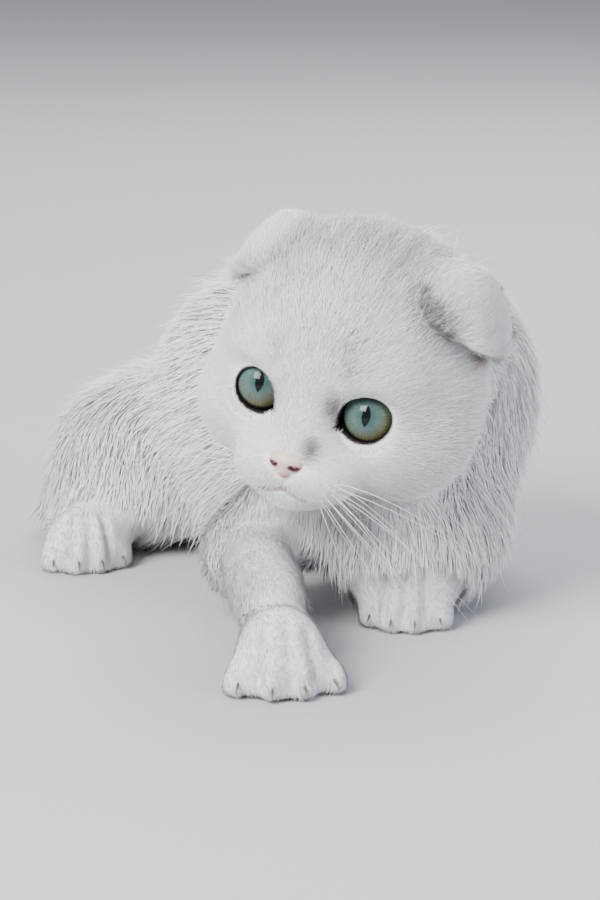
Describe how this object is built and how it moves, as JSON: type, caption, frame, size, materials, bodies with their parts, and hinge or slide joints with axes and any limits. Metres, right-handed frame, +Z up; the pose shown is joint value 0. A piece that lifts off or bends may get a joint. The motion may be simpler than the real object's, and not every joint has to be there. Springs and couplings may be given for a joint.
{
  "type": "scottish fold cat",
  "caption": "Life-size silver-shaded white Scottish Fold kitten, crouched on the floor, right forepaw reaching out, head turned and bent down.",
  "frame": {"origin": "on the floor, under the middle of the whole cat", "axes": "+X towards the cat's left flank, -Y towards its chest, +Y towards its rump, +Z up"},
  "size_m": [0.2172, 0.2402, 0.1234],
  "materials": {
    "coat": "short dense fur, white with grey shading",
    "ear": "thin ear leather under short white fur",
    "iris": "wet, glossy, blue-green with an olive rim",
    "nose_leather": "pink, moist, finely pebbled"
  },
  "bodies": {
    "root": {"head": "coat", "nose": "nose_leather", "eye_left": "iris", "eye_right": "iris", "ear_left": "ear", "ear_right": "ear", "neck": "coat", "torso": "coat", "foreleg_left": "coat", "foreleg_right": "coat", "forepaw_left": "coat", "forepaw_right": "coat", "hind_leg_left": "coat", "hind_leg_right": "coat", "hind_paw_left": "coat", "hind_paw_right": "coat", "tail_base": "coat", "tail_middle": "coat", "tail_tip": "coat"}
  },
  "joints": []
}
